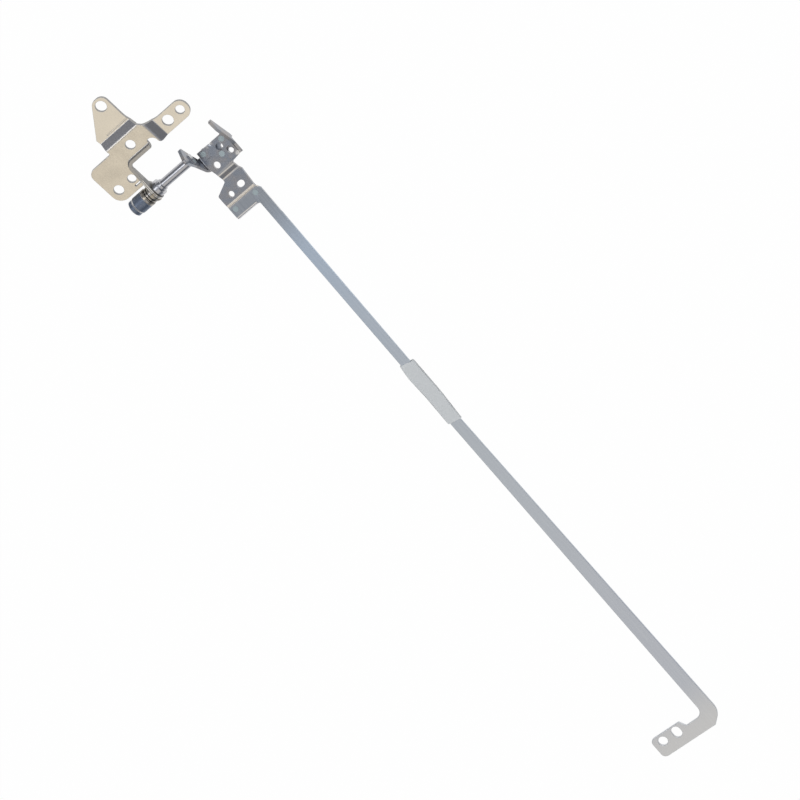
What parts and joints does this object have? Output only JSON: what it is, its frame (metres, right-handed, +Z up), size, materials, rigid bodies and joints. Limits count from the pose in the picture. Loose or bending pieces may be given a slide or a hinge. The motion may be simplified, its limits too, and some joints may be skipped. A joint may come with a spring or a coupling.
{
  "type": "laptop screen hinge with screen rail (one hinge of a left and right pair)",
  "caption": "Laptop screen hinge: a stepped base bracket carries a friction hinge whose ear bracket holds a long flat screen rail with a footed far end.",
  "frame": {"origin": "centre of the side ear's screw hole, on the underside that sits on the laptop base", "axes": "+X along the hinge axis from the nut towards the display ears, +Y towards the laptop's front, +Z up through the screw hole"},
  "size_m": [0.0374, 0.2476, 0.0549],
  "materials": {
    "plate_steel": "satin plated sheet steel with a warm fine grain",
    "bracket_steel": "satin plated sheet steel, grey",
    "rail_steel": "satin rolled strip, light grey",
    "turned_steel": "smooth turned steel",
    "washer_steel": "hardened washer steel with a pale straw tint",
    "spring_steel": "bright spring steel",
    "blackened_steel": "blue-black treated steel, semi-gloss",
    "rivet_steel": "flush ground rivets",
    "label_tape": "blank white film tape"
  },
  "bodies": {
    "base": {"base_bracket": "plate_steel", "tabbed_friction_plate": "washer_steel"},
    "lid": {"disc_spring_1": "spring_steel", "disc_spring_2": "spring_steel", "disc_spring_3": "spring_steel", "disc_spring_4": "spring_steel", "display_bracket": "bracket_steel", "ear_bracket": "bracket_steel", "ear_rivets": "rivet_steel", "end_nut": "blackened_steel", "inner_friction_washer": "washer_steel", "outer_friction_washer": "washer_steel", "pivot_shaft": "turned_steel", "pressure_washer": "washer_steel", "rail_label": "label_tape", "rail_rivets": "rivet_steel", "screen_rail": "rail_steel"}
  },
  "joints": [
    {"name": "lid_hinge", "type": "hinge", "parent": "base", "child": "lid", "pos_m": [-0.0165, -0.0121, 0.0035], "axis": [1, 0, 0], "range_deg": [-166, 14]}
  ]
}
